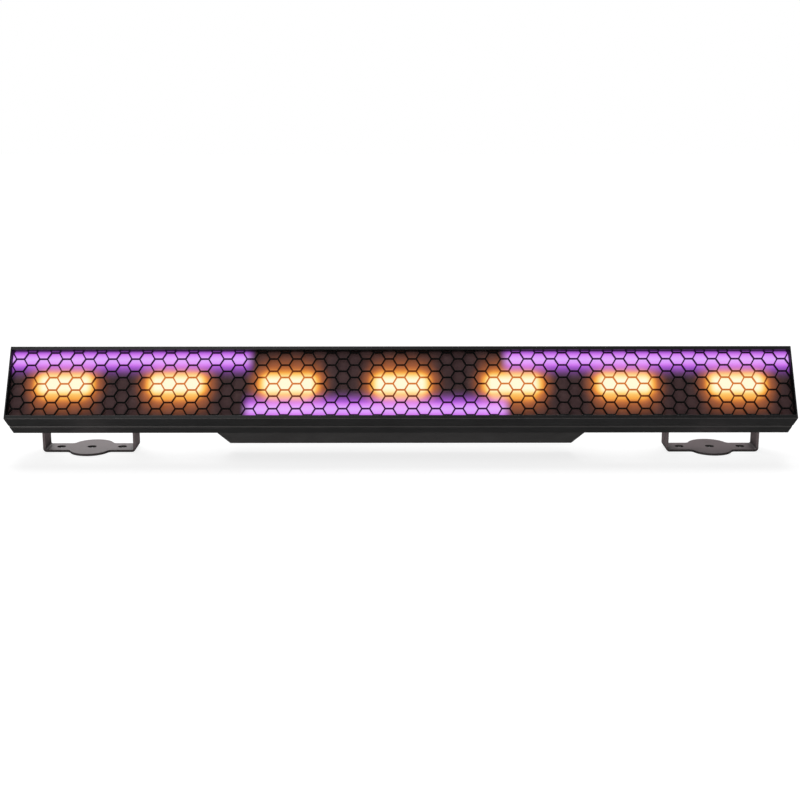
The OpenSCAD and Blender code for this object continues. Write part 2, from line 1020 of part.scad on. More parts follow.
// One bend and leg, drawn for the positive x end
module bracket_leg() {
    translate([half_bracket - bend_radius, 0, bend_radius])
        rotate([90, 0, 0])
            intersection() {
                difference() {
                    cylinder(r = bend_radius, h = strip_width, center = true);
                    cylinder(r = bend_radius - bracket_thickness, h = strip_width + 2, center = true);
                }
                translate([0, -bend_radius, -strip_width])
                    cube([bend_radius, bend_radius, 2 * strip_width]);
            }
    difference() {
        union() {
            translate([half_bracket - bracket_thickness, -strip_width / 2, bend_radius])
                cube([bracket_thickness, strip_width, pivot_z - bend_radius]);
            translate([half_bracket - bracket_thickness, 0, pivot_z])
                rotate([0, 90, 0])
                    cylinder(d = strip_width, h = bracket_thickness);
        }
        translate([half_bracket - bracket_thickness - 1, 0, pivot_z])
            rotate([0, 90, 0])
                cylinder(r = stud_radius + fit_gap, h = bracket_thickness + 2);
    }
}

module bracket(side) {
    base_length = bracket_length - 2 * bend_radius;
    color("#625a5a")
        translate([side * bracket_offset, pivot_y, 0]) {
            difference() {
                union() {
                    translate([-base_length / 2, -strip_width / 2, 0])
                        cube([base_length, strip_width, bracket_thickness]);
                    linear_extrude(bracket_thickness)
                        pad_outline();
                    for (mx = [0, 1])
                        for (my = [0, 1])
                            mirror([mx, 0, 0])
                                mirror([0, my, 0])
                                    pad_blend();
                }
                for (i = [-1:1])
                    translate([i * fixing_spacing, 0, -1])
                        cylinder(d = fixing_diameter, h = bracket_thickness + 2);
            }
            bracket_leg();
            mirror([1, 0, 0])
                bracket_leg();
        }
}

// ---------- the nodes ----------

in_stand() housing_extrusion();
in_stand() end_cap(-1);  // end_cap_left
in_stand() end_cap(1);  // end_cap_right
in_stand() end_cap_screws();
in_stand() honeycomb_grille();
in_stand() diffuser_panel();
in_stand() led_tray();
in_stand() baffles();
in_stand() tray_screws();
in_stand() rgb_board(1);  // rgb_board_top
in_stand() rgb_board(-1);  // rgb_board_bottom
in_stand() rgb_leds(1);  // rgb_leds_top
in_stand() rgb_leds(-1);  // rgb_leds_bottom
for (i = [1:cell_count])
    in_stand() reflector(i);
for (i = [1:cell_count])
    in_stand() white_led_board(i);
in_stand() control_box();
in_stand() rear_cover();
in_stand() panel_screws();
in_stand() safety_eye();
in_stand() display_window();
in_stand() display_board();
in_stand() control_board();
in_stand() power_supply_board();
in_stand() power_supply_parts();
in_stand() board_standoffs();
in_stand() wire_harness();
in_stand() wire_grommets();
for (i = [1:button_count])
    in_stand() menu_button(i);
in_stand() power_inlet();
in_stand() power_outlet();
in_stand() dmx_inlet();
in_stand() dmx_outlet();
in_stand() socket_pins();
in_stand() dmx_latch();
in_stand() fuse_holder();
in_stand() fuse_cap();
in_stand() fuse_link();
in_stand() pivot_lugs();
in_stand() friction_washers();
bracket(-1);  // bracket_left
bracket(1);  // bracket_right
for (s = SIDES)
    for (e = ENDS)
        in_stand() clamp_knob(side_sign(s), end_sign(e));
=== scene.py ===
"""The looks of the led strip batten: camera, studio, materials, edge rounding and small markings."""

import json
import math

import bmesh
import bpy
from mathutils import Matrix, Vector


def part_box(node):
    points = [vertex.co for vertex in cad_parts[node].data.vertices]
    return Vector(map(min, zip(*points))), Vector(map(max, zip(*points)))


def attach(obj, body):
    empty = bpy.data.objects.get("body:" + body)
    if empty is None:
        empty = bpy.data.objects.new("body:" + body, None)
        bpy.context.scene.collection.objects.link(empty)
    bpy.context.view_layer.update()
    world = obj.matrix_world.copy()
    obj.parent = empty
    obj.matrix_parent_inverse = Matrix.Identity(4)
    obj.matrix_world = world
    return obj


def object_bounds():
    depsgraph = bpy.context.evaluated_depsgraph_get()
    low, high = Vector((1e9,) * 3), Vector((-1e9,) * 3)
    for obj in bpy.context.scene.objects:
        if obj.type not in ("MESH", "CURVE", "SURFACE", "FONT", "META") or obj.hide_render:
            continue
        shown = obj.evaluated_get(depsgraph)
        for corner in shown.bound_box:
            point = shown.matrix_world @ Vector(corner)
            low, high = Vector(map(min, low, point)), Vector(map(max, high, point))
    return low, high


# One millimetre, in metres.
MM = 0.001
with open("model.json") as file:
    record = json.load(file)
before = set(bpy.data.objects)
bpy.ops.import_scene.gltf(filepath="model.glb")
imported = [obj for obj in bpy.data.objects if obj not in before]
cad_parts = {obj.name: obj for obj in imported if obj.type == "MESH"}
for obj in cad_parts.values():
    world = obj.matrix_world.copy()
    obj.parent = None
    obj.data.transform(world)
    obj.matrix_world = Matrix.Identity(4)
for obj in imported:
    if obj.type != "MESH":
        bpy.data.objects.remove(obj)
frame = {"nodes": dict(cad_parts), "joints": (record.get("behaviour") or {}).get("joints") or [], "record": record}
cad_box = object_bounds()

# The bar's own frame, in mm: x along the bar, y back from the front lips, z up the face.
BAR_TILT = math.radians(34.5)
PIVOT_BEHIND_LIPS = 71
PIVOT = Vector(next(j["pos_m"] for j in frame["joints"] if j["name"] == "bracket_left_tilt")) / MM
BAR_LENGTH = (cad_box[1][0] - cad_box[0][0]) / MM

# The seven warm cells, in mm: a bright core, narrower away from the middle line, and a glow around it.
CELL_COUNT = 7
CELL_PITCH = BAR_LENGTH / CELL_COUNT
CORE_HALF_WIDTH = 27.5
CORE_HALF_HEIGHT = 6
CORE_TAPER = 0.016
GLOW_REACH = 50
TAIL_START = 12
TAIL_SQUEEZE = 0.6
SIDE_FADE_HEIGHTS = (24, 40)
SIDE_FADE = 0.5
LOWER_SPREAD_HEIGHTS = (-14, -20)
LOWER_SPREAD = 3.5

# The two rows of colour pixels, in mm. The top row is dark in its middle, the bottom row is lit there.
COLOUR_ROW_Z = 34
COLOUR_REACH = 30
TOP_ROW_DARK = (-193, 134)
BOTTOM_ROW_LIT = (-197, 134)
ROW_FADE = 16


def to_world(x, y, z):
    """A point of the bar's own frame in world metres."""
    turn = Matrix.Rotation(-BAR_TILT, 3, "X")
    place = turn @ Vector((0, y - PIVOT_BEHIND_LIPS, z))
    return Vector((x, PIVOT.y + place.y, PIVOT.z + place.z)) * MM


def srgb(red, green, blue):
    """A colour given as seen, 0 to 255, in linear values."""
    shares = [value / 255 for value in (red, green, blue)]
    return [s / 12.92 if s <= 0.04045 else ((s + 0.055) / 1.055) ** 2.4 for s in shares]


# ---------------------------------------------------------------- camera and studio

CAMERA_PLACE = (-0.00099, -1.8472, 0.5041)
CAMERA_PITCH = math.radians(13.207)
CAMERA_ROLL = math.radians(-0.045)
CAMERA_LENS = 65.62
SENSOR_WIDTH = 36

LIGHT_TARGET = Vector((0, 0, 0.06))
FLOOR_REACH = 6
FLOOR_GLOW = 0.8
FLOOR_SHADES = [(0.3, (0.28, 0.28, 0.28)), (0.7, (0.3, 0.3, 0.3))]

# What the room sends to the object: brightness by height, and a bright ground below and in front,
# which is brighter still to the left.
ROOM_STOPS = [
    (0.0, (0.05, 0.05, 0.05)),
    (0.5, (0.06, 0.06, 0.06)),
    (0.6, (0.16, 0.16, 0.165)),
    (1.0, (0.34, 0.34, 0.345)),
]
GROUND_STOPS = [
    (0.5, (2.7, 2.55, 2.45)),
    (0.63, (0.0, 0.0, 0.0)),
]
GROUND_HEIGHTS = (-0.35, -0.75)
LEFT_DIRECTIONS = (-0.14, -0.25)
LEFT_GAIN = 2.8


def make_camera():
    """The camera at the photograph's viewing angle."""
    data = bpy.data.cameras.new("camera")
    data.lens = CAMERA_LENS
    data.sensor_width = SENSOR_WIDTH
    camera = bpy.data.objects.new("camera", data)
    bpy.context.scene.collection.objects.link(camera)
    tilt = Matrix.Rotation(math.pi / 2 - CAMERA_PITCH, 4, "X")
    roll = Matrix.Rotation(CAMERA_ROLL, 4, "Z")
    camera.matrix_world = Matrix.Translation(CAMERA_PLACE) @ tilt @ roll
    bpy.context.scene.camera = camera


def make_light(name, place, size, power):
    """A soft rectangular lamp that looks at the middle of the bar."""
    data = bpy.data.lights.new(name, "AREA")
    data.shape = "RECTANGLE"
    data.size, data.size_y = size
    data.energy = power
    lamp = bpy.data.objects.new(name, data)
    bpy.context.scene.collection.objects.link(lamp)
    lamp.location = place
    lamp.rotation_euler = (LIGHT_TARGET - Vector(place)).to_track_quat("-Z", "Y").to_euler()


def make_sun(name, from_front, power, spread):
    """A broad even light from above, tipped by some degrees, from behind where they are negative."""
    data = bpy.data.lights.new(name, "SUN")
    data.energy = power
    data.angle = math.radians(spread)
    lamp = bpy.data.objects.new(name, data)
    bpy.context.scene.collection.objects.link(lamp)
    lamp.rotation_euler = (math.radians(from_front), 0, 0)


def make_world():
    """White to the eye; a soft grey room to everything that it lights."""
    world = bpy.data.worlds.new("studio")
    bpy.context.scene.world = world
    world.use_nodes = True
    tree = world.node_tree
    tree.nodes.clear()
    direction = add(tree, "SeparateXYZ", add(tree, "TexCoord").outputs["Generated"])
    room = ramp(tree, math_node(tree, "MULTIPLY_ADD", direction.outputs["Z"], 0.5, 0.5), ROOM_STOPS)
    ground = ramp(tree, math_node(tree, "MULTIPLY_ADD", direction.outputs["Y"], 0.5, 0.5), GROUND_STOPS)
    ground = scaled(tree, ground, remap(tree, direction.outputs["X"], LEFT_DIRECTIONS, (1, LEFT_GAIN)))
    below = remap(tree, direction.outputs["Z"], GROUND_HEIGHTS, (0, 1))
    ground = mix_colours(tree, below, (0, 0, 0, 1), ground)
    lit = add(tree, "Background", mix_colours(tree, 1.0, room, ground, "ADD"))
    seen = add(tree, "Background", (1, 1, 1, 1))
    camera_ray = add(tree, "LightPath").outputs["Is Camera Ray"]
    mix = add(tree, "MixShader", camera_ray, lit.outputs[0], seen.outputs[0])
    output = tree.nodes.new("ShaderNodeOutputWorld")
    tree.links.new(mix.outputs[0], output.inputs["Surface"])


def make_floor():
    """A plain pale floor under the brackets."""
    mesh = bpy.data.meshes.new("floor")
    corners = [(x * FLOOR_REACH, y * FLOOR_REACH, 0) for x, y in ((-1, -1), (1, -1), (1, 1), (-1, 1))]
    mesh.from_pydata(corners, [], [(0, 1, 2, 3)])
    floor = bpy.data.objects.new("floor", mesh)
    bpy.context.scene.collection.objects.link(floor)
    floor.visible_glossy = False
    material, tree, shader = new_material("floor_paper", {
        "Roughness": 0.9,
        "Specular IOR Level": 0.1,
        "Emission Color": (1, 1, 1, 1),
        "Emission Strength": FLOOR_GLOW,
    })
    mottle = noise(tree, object_place(tree), scale=3, detail=3)
    wire(tree, ramp(tree, mottle, FLOOR_SHADES), shader.inputs["Base Color"])
    mesh.materials.append(material)


# ---------------------------------------------------------------- node helpers

# How open a point is between its darkest painted shade and its full colour, and how alike the eased and
# the flat normal are between a plain edge and one made bright by scuffs and a painted highlight.
CREVICE_OPENNESS = (0.55, 0.9)
WORN_AND_HIGHLIT_LIKENESS = (0.99, 0.86)

# Which sockets the Mix node uses for colours: the share, the first and the second colour, and the result.
MIX_INPUTS = (0, 6, 7)
MIX_OUTPUT = 2


def wire(tree, value, socket):
    """Sets a socket to a value, or links it to a socket."""
    if isinstance(value, bpy.types.NodeSocket):
        tree.links.new(value, socket)
    elif value is not None:
        socket.default_value = value


def add(tree, kind, *inputs, **settings):
    """A shader node with its first inputs and its settings."""
    made = tree.nodes.new("ShaderNode" + kind)
    for name, value in settings.items():
        setattr(made, name, value)
    for value, socket in zip(inputs, made.inputs):
        wire(tree, value, socket)
    return made


def math_node(tree, operation, *inputs):
    """The result of a maths operation on its inputs."""
    return add(tree, "Math", *inputs, operation=operation).outputs[0]


def ramp(tree, share, stops):
    """A colour ramp, its stops as (place, linear colour)."""
    made = add(tree, "ValToRGB", share)
    elements = made.color_ramp.elements
    while len(elements) < len(stops):
        elements.new(1)
    for element, (place, colour) in zip(elements, stops):
        element.position = place
        element.color = (*colour, 1)
    return made.outputs["Color"]


def remap(tree, value, given, wanted, **settings):
    """Brings a value from one range to another, and holds it at the ends."""
    return add(tree, "MapRange", value, *given, *wanted, **settings).outputs["Result"]


def span(tree, share, low, high):
    """A share between 0 and 1, brought to between low and high."""
    return remap(tree, share, (0, 1), (low, high))


def noise(tree, place, scale, detail, roughness=0.5):
    """Noise between 0 and 1, its scale in waves per unit of the place."""
    made = add(tree, "TexNoise", noise_dimensions="3D")
    wire(tree, place, made.inputs["Vector"])
    made.inputs["Scale"].default_value = scale
    made.inputs["Detail"].default_value = detail
    made.inputs["Roughness"].default_value = roughness
    return made.outputs["Fac"]


def object_place(tree):
    """The place on the object at rest, in metres."""
    return add(tree, "TexCoord").outputs["Object"]


def bar_place(tree):
    """The place in the bar's own frame, in mm."""
    turned = add(tree, "Mapping", object_place(tree))
    turned.inputs["Rotation"].default_value = (BAR_TILT, 0, 0)
    turned.inputs["Scale"].default_value = (1 / MM, 1 / MM, 1 / MM)
    shift = Matrix.Rotation(BAR_TILT, 3, "X") @ Vector((0, PIVOT.y, PIVOT.z))
    turned.inputs["Location"].default_value = (0, PIVOT_BEHIND_LIPS - shift.y, -shift.z)
    return turned.outputs[0]


def bump(tree, height, depth, strength=1.0, under=None):
    """A normal from a height between 0 and 1, depth metres deep."""
    made = add(tree, "Bump")
    made.inputs["Strength"].default_value = strength
    made.inputs["Distance"].default_value = depth
    wire(tree, height, made.inputs["Height"])
    if under is not None:
        wire(tree, under, made.inputs["Normal"])
    return made.outputs["Normal"]


def rounded(tree, radius):
    """The normal with sharp edges eased over a radius in metres, so that they catch the light."""
    made = add(tree, "Bevel", samples=8)
    made.inputs["Radius"].default_value = radius
    return made.outputs["Normal"]


def painted_crevice_shade(tree, reach, darkest):
    """Painted shade: 1 in the open, down to the darkest share in holes and inner corners."""
    made = add(tree, "AmbientOcclusion", samples=8)
    made.inputs["Distance"].default_value = reach
    return remap(tree, made.outputs["AO"], CREVICE_OPENNESS, (darkest, 1))


def scaled(tree, colour, share):
    """A colour multiplied by a share."""
    made = add(tree, "VectorMath", colour, operation="SCALE")
    wire(tree, share, made.inputs["Scale"])
    return made.outputs[0]


def edge_wear_and_highlight(tree, radius, place):
    """Near 1 on sharp edges, which are made bright partly as scuffs and partly as a painted highlight, broken up
    by noise, and 0 on flat faces.
    """
    flat = add(tree, "NewGeometry").outputs["Normal"]
    alike = add(tree, "VectorMath", rounded(tree, radius), flat, operation="DOT_PRODUCT").outputs["Value"]
    edge = remap(tree, alike, WORN_AND_HIGHLIT_LIKENESS, (0, 1))
    patches = noise(tree, place, scale=130, detail=4, roughness=0.7)
    patches = remap(tree, patches, (0.42, 0.62), (0.15, 1))
    return math_node(tree, "MULTIPLY", edge, patches)


def mix_colours(tree, share, first, second, blend="MIX"):
    """The second colour laid over the first by a share, in the way that blend names."""
    made = add(tree, "Mix", data_type="RGBA", blend_type=blend)
    for value, place in zip((share, first, second), MIX_INPUTS):
        wire(tree, value, made.inputs[place])
    return made.outputs[MIX_OUTPUT]


def new_material(name, values):
    """A Principled material with these socket values."""
    material = bpy.data.materials.new(name)
    material.use_nodes = True
    tree = material.node_tree
    shader = tree.nodes["Principled BSDF"]
    for socket, value in values.items():
        shader.inputs[socket].default_value = value
    return material, tree, shader


# ---------------------------------------------------------------- materials

# In metres: how far edges are eased, and how far the painted shade of holes, corners and the grille reaches.
COATED_EDGE = 0.0004
DRAWN_EDGE = 0.0005
TURNED_EDGE = 0.0003
HOLE_SHADE_REACH = 0.012
GRILLE_SHADE_REACH = 0.003

# How far the bright edges reach, as a share of the eased edge: scuffs and painted highlight together.
WEAR_AND_HIGHLIGHT_WIDTH = 1.6

# The housing, in mm from its front lips: fine lines, the front part whose edges get a painted highlight,
# and the grooves, behind whose front edge a painted shade line is made by taking the gloss away.
DRAWN_LINES = (0.006, 0.9, 0.9)
FRONT_HIGHLIGHT_DEPTHS = (2, 8)
GROOVE_FRONT = 25.6
GROOVE_EDGE = 0.4
GROOVE_SHADE_DEPTHS = (3, 4.4)
HOUSING_SPECULAR = 0.3


def depth_back(tree):
    """How far a point is behind the front lips, in mm."""
    return add(tree, "SeparateXYZ", bar_place(tree)).outputs["Y"]


def coated(name, colour, roughness, grain=900, depth=0.00004, spread=0.25, specular=0.4,
           worn_and_highlit=None, shade=1.0):
    """Paint, powder coat or plastic: a mottled colour, a fine grain, eased edges and an uneven gloss.

    Where an edge colour is given, sharp edges take it, partly as scuffs and partly as a painted highlight.
    A shade under 1 paints shade into holes and inner corners.
    """
    material, tree, shader = new_material(name, {"Specular IOR Level": specular})
    place = object_place(tree)
    broad = noise(tree, place, scale=28, detail=4, roughness=0.6)
    fine = noise(tree, place, scale=grain, detail=2)
    dark = [c * (1 - spread) for c in colour]
    light = [c * (1 + spread) for c in colour]
    tone = ramp(tree, broad, [(0.3, dark), (0.7, light)])
    # Sharp edges in the edge colour: partly scuffs, partly a painted highlight.
    if worn_and_highlit:
        tone = mix_colours(tree, edge_wear_and_highlight(tree, COATED_EDGE * WEAR_AND_HIGHLIGHT_WIDTH, place), tone, (*worn_and_highlit, 1))
    # Painted shade in holes and inner corners.
    if shade < 1:
        tone = scaled(tree, tone, painted_crevice_shade(tree, HOLE_SHADE_REACH, shade))
    wire(tree, tone, shader.inputs["Base Color"])
    uneven = math_node(tree, "MULTIPLY_ADD", fine, 0.4, math_node(tree, "MULTIPLY", broad, 0.6))
    wire(tree, span(tree, uneven, roughness - 0.1, roughness + 0.1), shader.inputs["Roughness"])
    wire(tree, bump(tree, fine, depth, under=rounded(tree, COATED_EDGE)), shader.inputs["Normal"])
    return material


def drawn_metal(name, colour, roughness, metallic=0.0, specular=0.4, worn_and_highlit=None):
    """Extruded or brushed metal: fine lines along the bar in the gloss and the surface, and eased edges."""
    material, tree, shader = new_material(name, {"Specular IOR Level": specular, "Metallic": metallic})
    stretched = add(tree, "VectorMath", bar_place(tree), DRAWN_LINES, operation="MULTIPLY").outputs[0]
    lines = noise(tree, stretched, scale=1, detail=3, roughness=0.65)
    broad = noise(tree, object_place(tree), scale=22, detail=4, roughness=0.6)
    fine = noise(tree, object_place(tree), scale=2600, detail=1)
    dark = [c * 0.75 for c in colour]
    light = [c * 1.3 for c in colour]
    tone = math_node(tree, "MULTIPLY_ADD", lines, 0.5, math_node(tree, "MULTIPLY", broad, 0.5))
    colours = ramp(tree, tone, [(0.35, dark), (0.65, light)])
    # Painted highlight on the front arrises, strongest near the front lips, together with some scuffs.
    if worn_and_highlit:
        front_highlight = remap(tree, depth_back(tree), FRONT_HIGHLIGHT_DEPTHS, (1, 0.15))
        wear_and_highlight = edge_wear_and_highlight(tree, DRAWN_EDGE * WEAR_AND_HIGHLIGHT_WIDTH, object_place(tree))
        rubbed_and_highlit = math_node(tree, "MULTIPLY", wear_and_highlight, front_highlight)
        colours = mix_colours(tree, rubbed_and_highlit, colours, (*worn_and_highlit, 1))
    wire(tree, colours, shader.inputs["Base Color"])
    wire(tree, span(tree, tone, roughness - 0.12, roughness + 0.12), shader.inputs["Roughness"])
    height = math_node(tree, "MULTIPLY_ADD", lines, 0.7, math_node(tree, "MULTIPLY", fine, 0.3))
    normal = bump(tree, height, depth=0.00002, under=rounded(tree, DRAWN_EDGE))
    wire(tree, normal, shader.inputs["Normal"])
    return material


def housing_finish():
    """The black anodised housing, with a painted highlight along its front edges and a painted shade line behind
    its grooves.
    """
    material = drawn_metal("black_anodised", (0.008, 0.008, 0.0083), 0.33, specular=HOUSING_SPECULAR,
                           worn_and_highlit=(0.07, 0.07, 0.072))
    tree = material.node_tree
    # Painted shade: the gloss is taken away just behind each groove's front edge, so that a dark line shows there.
    before = remap(tree, depth_back(tree), (GROOVE_FRONT - GROOVE_EDGE, GROOVE_FRONT), (1, 0))
    behind = remap(tree, depth_back(tree), [GROOVE_FRONT + depth for depth in GROOVE_SHADE_DEPTHS], (0, 1))
    gloss = math_node(tree, "MULTIPLY", math_node(tree, "MAXIMUM", before, behind), HOUSING_SPECULAR)
    wire(tree, gloss, tree.nodes["Principled BSDF"].inputs["Specular IOR Level"])
    return material


def turned_metal(name, colour, roughness):
    """Turned, stamped or plated metal with a fine uneven grain and faint stains."""
    material, tree, shader = new_material(name, {"Metallic": 1.0})
    place = object_place(tree)
    stain = noise(tree, place, scale=120, detail=4, roughness=0.65)
    fine = noise(tree, place, scale=1500, detail=2)
    dark = [c * 0.7 for c in colour]
    wire(tree, ramp(tree, stain, [(0.35, dark), (0.6, colour)]), shader.inputs["Base Color"])
    uneven = math_node(tree, "MULTIPLY_ADD", fine, 0.5, math_node(tree, "MULTIPLY", stain, 0.5))
    wire(tree, span(tree, uneven, roughness - 0.1, roughness + 0.15), shader.inputs["Roughness"])
    normal = bump(tree, fine, depth=0.00002, under=rounded(tree, TURNED_EDGE))
    wire(tree, normal, shader.inputs["Normal"])
    return material


def board(name, mask, trace):
    """A circuit board: a mask with faint traces under it."""
    material, tree, shader = new_material(name, {"Specular IOR Level": 0.5})
    cells = add(tree, "TexVoronoi", feature="DISTANCE_TO_EDGE", distance="MANHATTAN")
    wire(tree, object_place(tree), cells.inputs["Vector"])
    cells.inputs["Scale"].default_value = 260
    tone = noise(tree, object_place(tree), scale=90, detail=3)
    lines = ramp(tree, cells.outputs["Distance"], [(0.03, trace), (0.06, mask)])
    shaded = ramp(tree, tone, [(0.3, (0.8, 0.8, 0.8)), (0.7, (1, 1, 1))])
    wire(tree, mix_colours(tree, 1.0, lines, shaded, "MULTIPLY"), shader.inputs["Base Color"])
    wire(tree, span(tree, tone, 0.25, 0.45), shader.inputs["Roughness"])
    wire(tree, bump(tree, cells.outputs["Distance"], depth=0.00003), shader.inputs["Normal"])
    return material


def clear_plastic(name, colour, roughness, transmission):
    """Tinted acrylic or glass with faint smears in its gloss."""
    material, tree, shader = new_material(name, {
        "Base Color": (*colour, 1),
        "Transmission Weight": transmission,
        "IOR": 1.49,
    })
    smear = noise(tree, object_place(tree), scale=60, detail=4, roughness=0.7)
    wire(tree, span(tree, smear, roughness, roughness + 0.14), shader.inputs["Roughness"])
    wire(tree, bump(tree, smear, depth=0.00003, strength=0.3), shader.inputs["Normal"])
    return material


# ---------------------------------------------------------------- the light behind the diffuser

WARM_STOPS = [
    (0, (253, 249, 214)),
    (3.5, (251, 238, 178)),
    (7, (252, 208, 112)),
    (10, (244, 168, 58)),
    (12.5, (218, 130, 42)),
    (16, (178, 98, 34)),
    (20, (146, 76, 28)),
    (25, (122, 64, 24)),
    (30, (92, 46, 18)),
    (35, (58, 28, 12)),
    (41, (26, 12, 6)),
    (48, (0, 0, 0)),
]
COLOUR_STOPS = [
    (0, (220, 166, 252)),
    (4, (217, 150, 251)),
    (7, (206, 118, 240)),
    (10, (168, 86, 212)),
    (13, (138, 68, 178)),
    (16, (112, 56, 144)),
    (19, (80, 40, 102)),
    (23, (44, 22, 58)),
    (28, (0, 0, 0)),
]
# A glow painted on the black grille, for the light of the cells and rows that would spill onto its walls.
GRILLE_PAINTED_WARM_STOPS = [
    (0, (214, 122, 52)),
    (5, (190, 98, 36)),
    (9, (120, 56, 16)),
    (13, (58, 24, 8)),
    (20, (24, 10, 4)),
    (32, (0, 0, 0)),
]
GRILLE_PAINTED_COLOUR_STOPS = [
    (0, (46, 16, 60)),
    (8, (32, 10, 44)),
    (18, (10, 3, 14)),
    (26, (0, 0, 0)),
]


def glow_ramp(tree, distance, stops, reach):
    """The colour at a distance in mm, from stops as (distance, colour as seen)."""
    share = math_node(tree, "DIVIDE", distance, reach)
    return ramp(tree, share, [(place / reach, srgb(*colour)) for place, colour in stops])


def edge_share(tree, value, edge, rising):
    """0 on one side of an edge along the bar and 1 on the other, with a soft step between."""
    sides = (edge - ROW_FADE / 2, edge + ROW_FADE / 2)
    low, high = sides if rising else sides[::-1]
    return remap(tree, value, (low, high), (0, 1), interpolation_type="SMOOTHSTEP")


def warm_distance(tree, x, z):
    """How far a point is outside the bright core of its warm cell, in mm."""
    along = math_node(tree, "MODULO", math_node(tree, "ADD", x, BAR_LENGTH / 2), CELL_PITCH)
    off = math_node(tree, "ABSOLUTE", math_node(tree, "SUBTRACT", along, CELL_PITCH / 2))
    height = math_node(tree, "ABSOLUTE", z)
    narrowed = math_node(tree, "MULTIPLY_ADD", math_node(tree, "MULTIPLY", height, height), CORE_TAPER, off)
    beside = math_node(tree, "MAXIMUM", math_node(tree, "SUBTRACT", narrowed, CORE_HALF_WIDTH), 0)
    tail = math_node(tree, "MAXIMUM", math_node(tree, "SUBTRACT", off, CORE_HALF_WIDTH + TAIL_START), 0)
    beside = math_node(tree, "MULTIPLY_ADD", tail, TAIL_SQUEEZE, beside)
    beside = math_node(tree, "MULTIPLY", beside, remap(tree, height, SIDE_FADE_HEIGHTS, (1, SIDE_FADE)))
    sunk = remap(tree, z, LOWER_SPREAD_HEIGHTS, (0, LOWER_SPREAD))
    level = math_node(tree, "SUBTRACT", height, sunk)
    above = math_node(tree, "MAXIMUM", math_node(tree, "SUBTRACT", level, CORE_HALF_HEIGHT), 0)
    square = math_node(tree, "MULTIPLY", beside, beside)
    return math_node(tree, "SQRT", math_node(tree, "MULTIPLY_ADD", above, above, square))


def row_share(tree, x, z):
    """1 where the colour row on this side of the bar is lit, else 0."""
    top_left = edge_share(tree, x, TOP_ROW_DARK[0], rising=False)
    top_right = edge_share(tree, x, TOP_ROW_DARK[1], rising=True)
    top = math_node(tree, "MAXIMUM", top_left, top_right)
    bottom_left = edge_share(tree, x, BOTTOM_ROW_LIT[0], rising=True)
    bottom_right = edge_share(tree, x, BOTTOM_ROW_LIT[1], rising=False)
    bottom = math_node(tree, "MINIMUM", bottom_left, bottom_right)
    upper = math_node(tree, "GREATER_THAN", z, 0)
    lower = math_node(tree, "SUBTRACT", 1, upper)
    top = math_node(tree, "MULTIPLY", upper, top)
    bottom = math_node(tree, "MULTIPLY", lower, bottom)
    return math_node(tree, "MAXIMUM", top, bottom)


def glow(tree, warm_stops, colour_stops):
    """The light that reaches a point of the face from the cells and from the colour rows."""
    place = add(tree, "SeparateXYZ", bar_place(tree))
    x, z = place.outputs["X"], place.outputs["Z"]
    warm = glow_ramp(tree, warm_distance(tree, x, z), warm_stops, GLOW_REACH)
    above_row = math_node(tree, "SUBTRACT", math_node(tree, "ABSOLUTE", z), COLOUR_ROW_Z)
    colour = glow_ramp(tree, math_node(tree, "ABSOLUTE", above_row), colour_stops, COLOUR_REACH)
    colour = mix_colours(tree, row_share(tree, x, z), (0, 0, 0, 1), colour)
    return mix_colours(tree, 1.0, warm, colour, "SCREEN")


def frosted_diffuser():
    """Smoked frosted acrylic with the light of the cells and rows in it.

    It has painted shade close to the grille, in its colour and in its light, except where its own light outshines
    that.
    """
    material, tree, shader = new_material("smoked_diffuser", {
        "Specular IOR Level": 0.12,
        "Emission Strength": 1.0,
    })
    frost = noise(tree, object_place(tree), scale=1100, detail=3, roughness=0.7)
    cloud = noise(tree, object_place(tree), scale=60, detail=3)
    grain = remap(tree, frost, (0.3, 0.7), (0.93, 1.05))
    light = glow(tree, WARM_STOPS, COLOUR_STOPS)
    # Painted shade next to the grille walls, in the diffuser's colour and in its light, except where that light is
    # bright.
    painted_grille_shade = painted_crevice_shade(tree, GRILLE_SHADE_REACH, 0.3)
    outshone = remap(tree, add(tree, "RGBToBW", light).outputs[0], (0, 0.5), (0.25, 1))
    painted_shade_kept = math_node(tree, "MAXIMUM", painted_grille_shade, outshone)
    wire(tree, scaled(tree, light, math_node(tree, "MULTIPLY", grain, painted_shade_kept)), shader.inputs["Emission Color"])
    smoke = ramp(tree, cloud, [(0.3, (0.099, 0.054, 0.056)), (0.7, (0.135, 0.076, 0.076))])
    wire(tree, scaled(tree, smoke, painted_grille_shade), shader.inputs["Base Color"])
    wire(tree, span(tree, frost, 0.5, 0.7), shader.inputs["Roughness"])
    wire(tree, bump(tree, frost, depth=0.00003), shader.inputs["Normal"])
    return material


def grille_with_painted_glow():
    """Black powder coat with a painted glow: the light of the cells and rows that would spill through the openings
    onto it.
    """
    material = coated("grille_black", (0.003, 0.003, 0.003), 0.6, grain=1400, depth=0.00003, specular=0.06)
    tree = material.node_tree
    shader = tree.nodes["Principled BSDF"]
    wire(tree, glow(tree, GRILLE_PAINTED_WARM_STOPS, GRILLE_PAINTED_COLOUR_STOPS), shader.inputs["Emission Color"])
    shader.inputs["Emission Strength"].default_value = 1.0
    return material


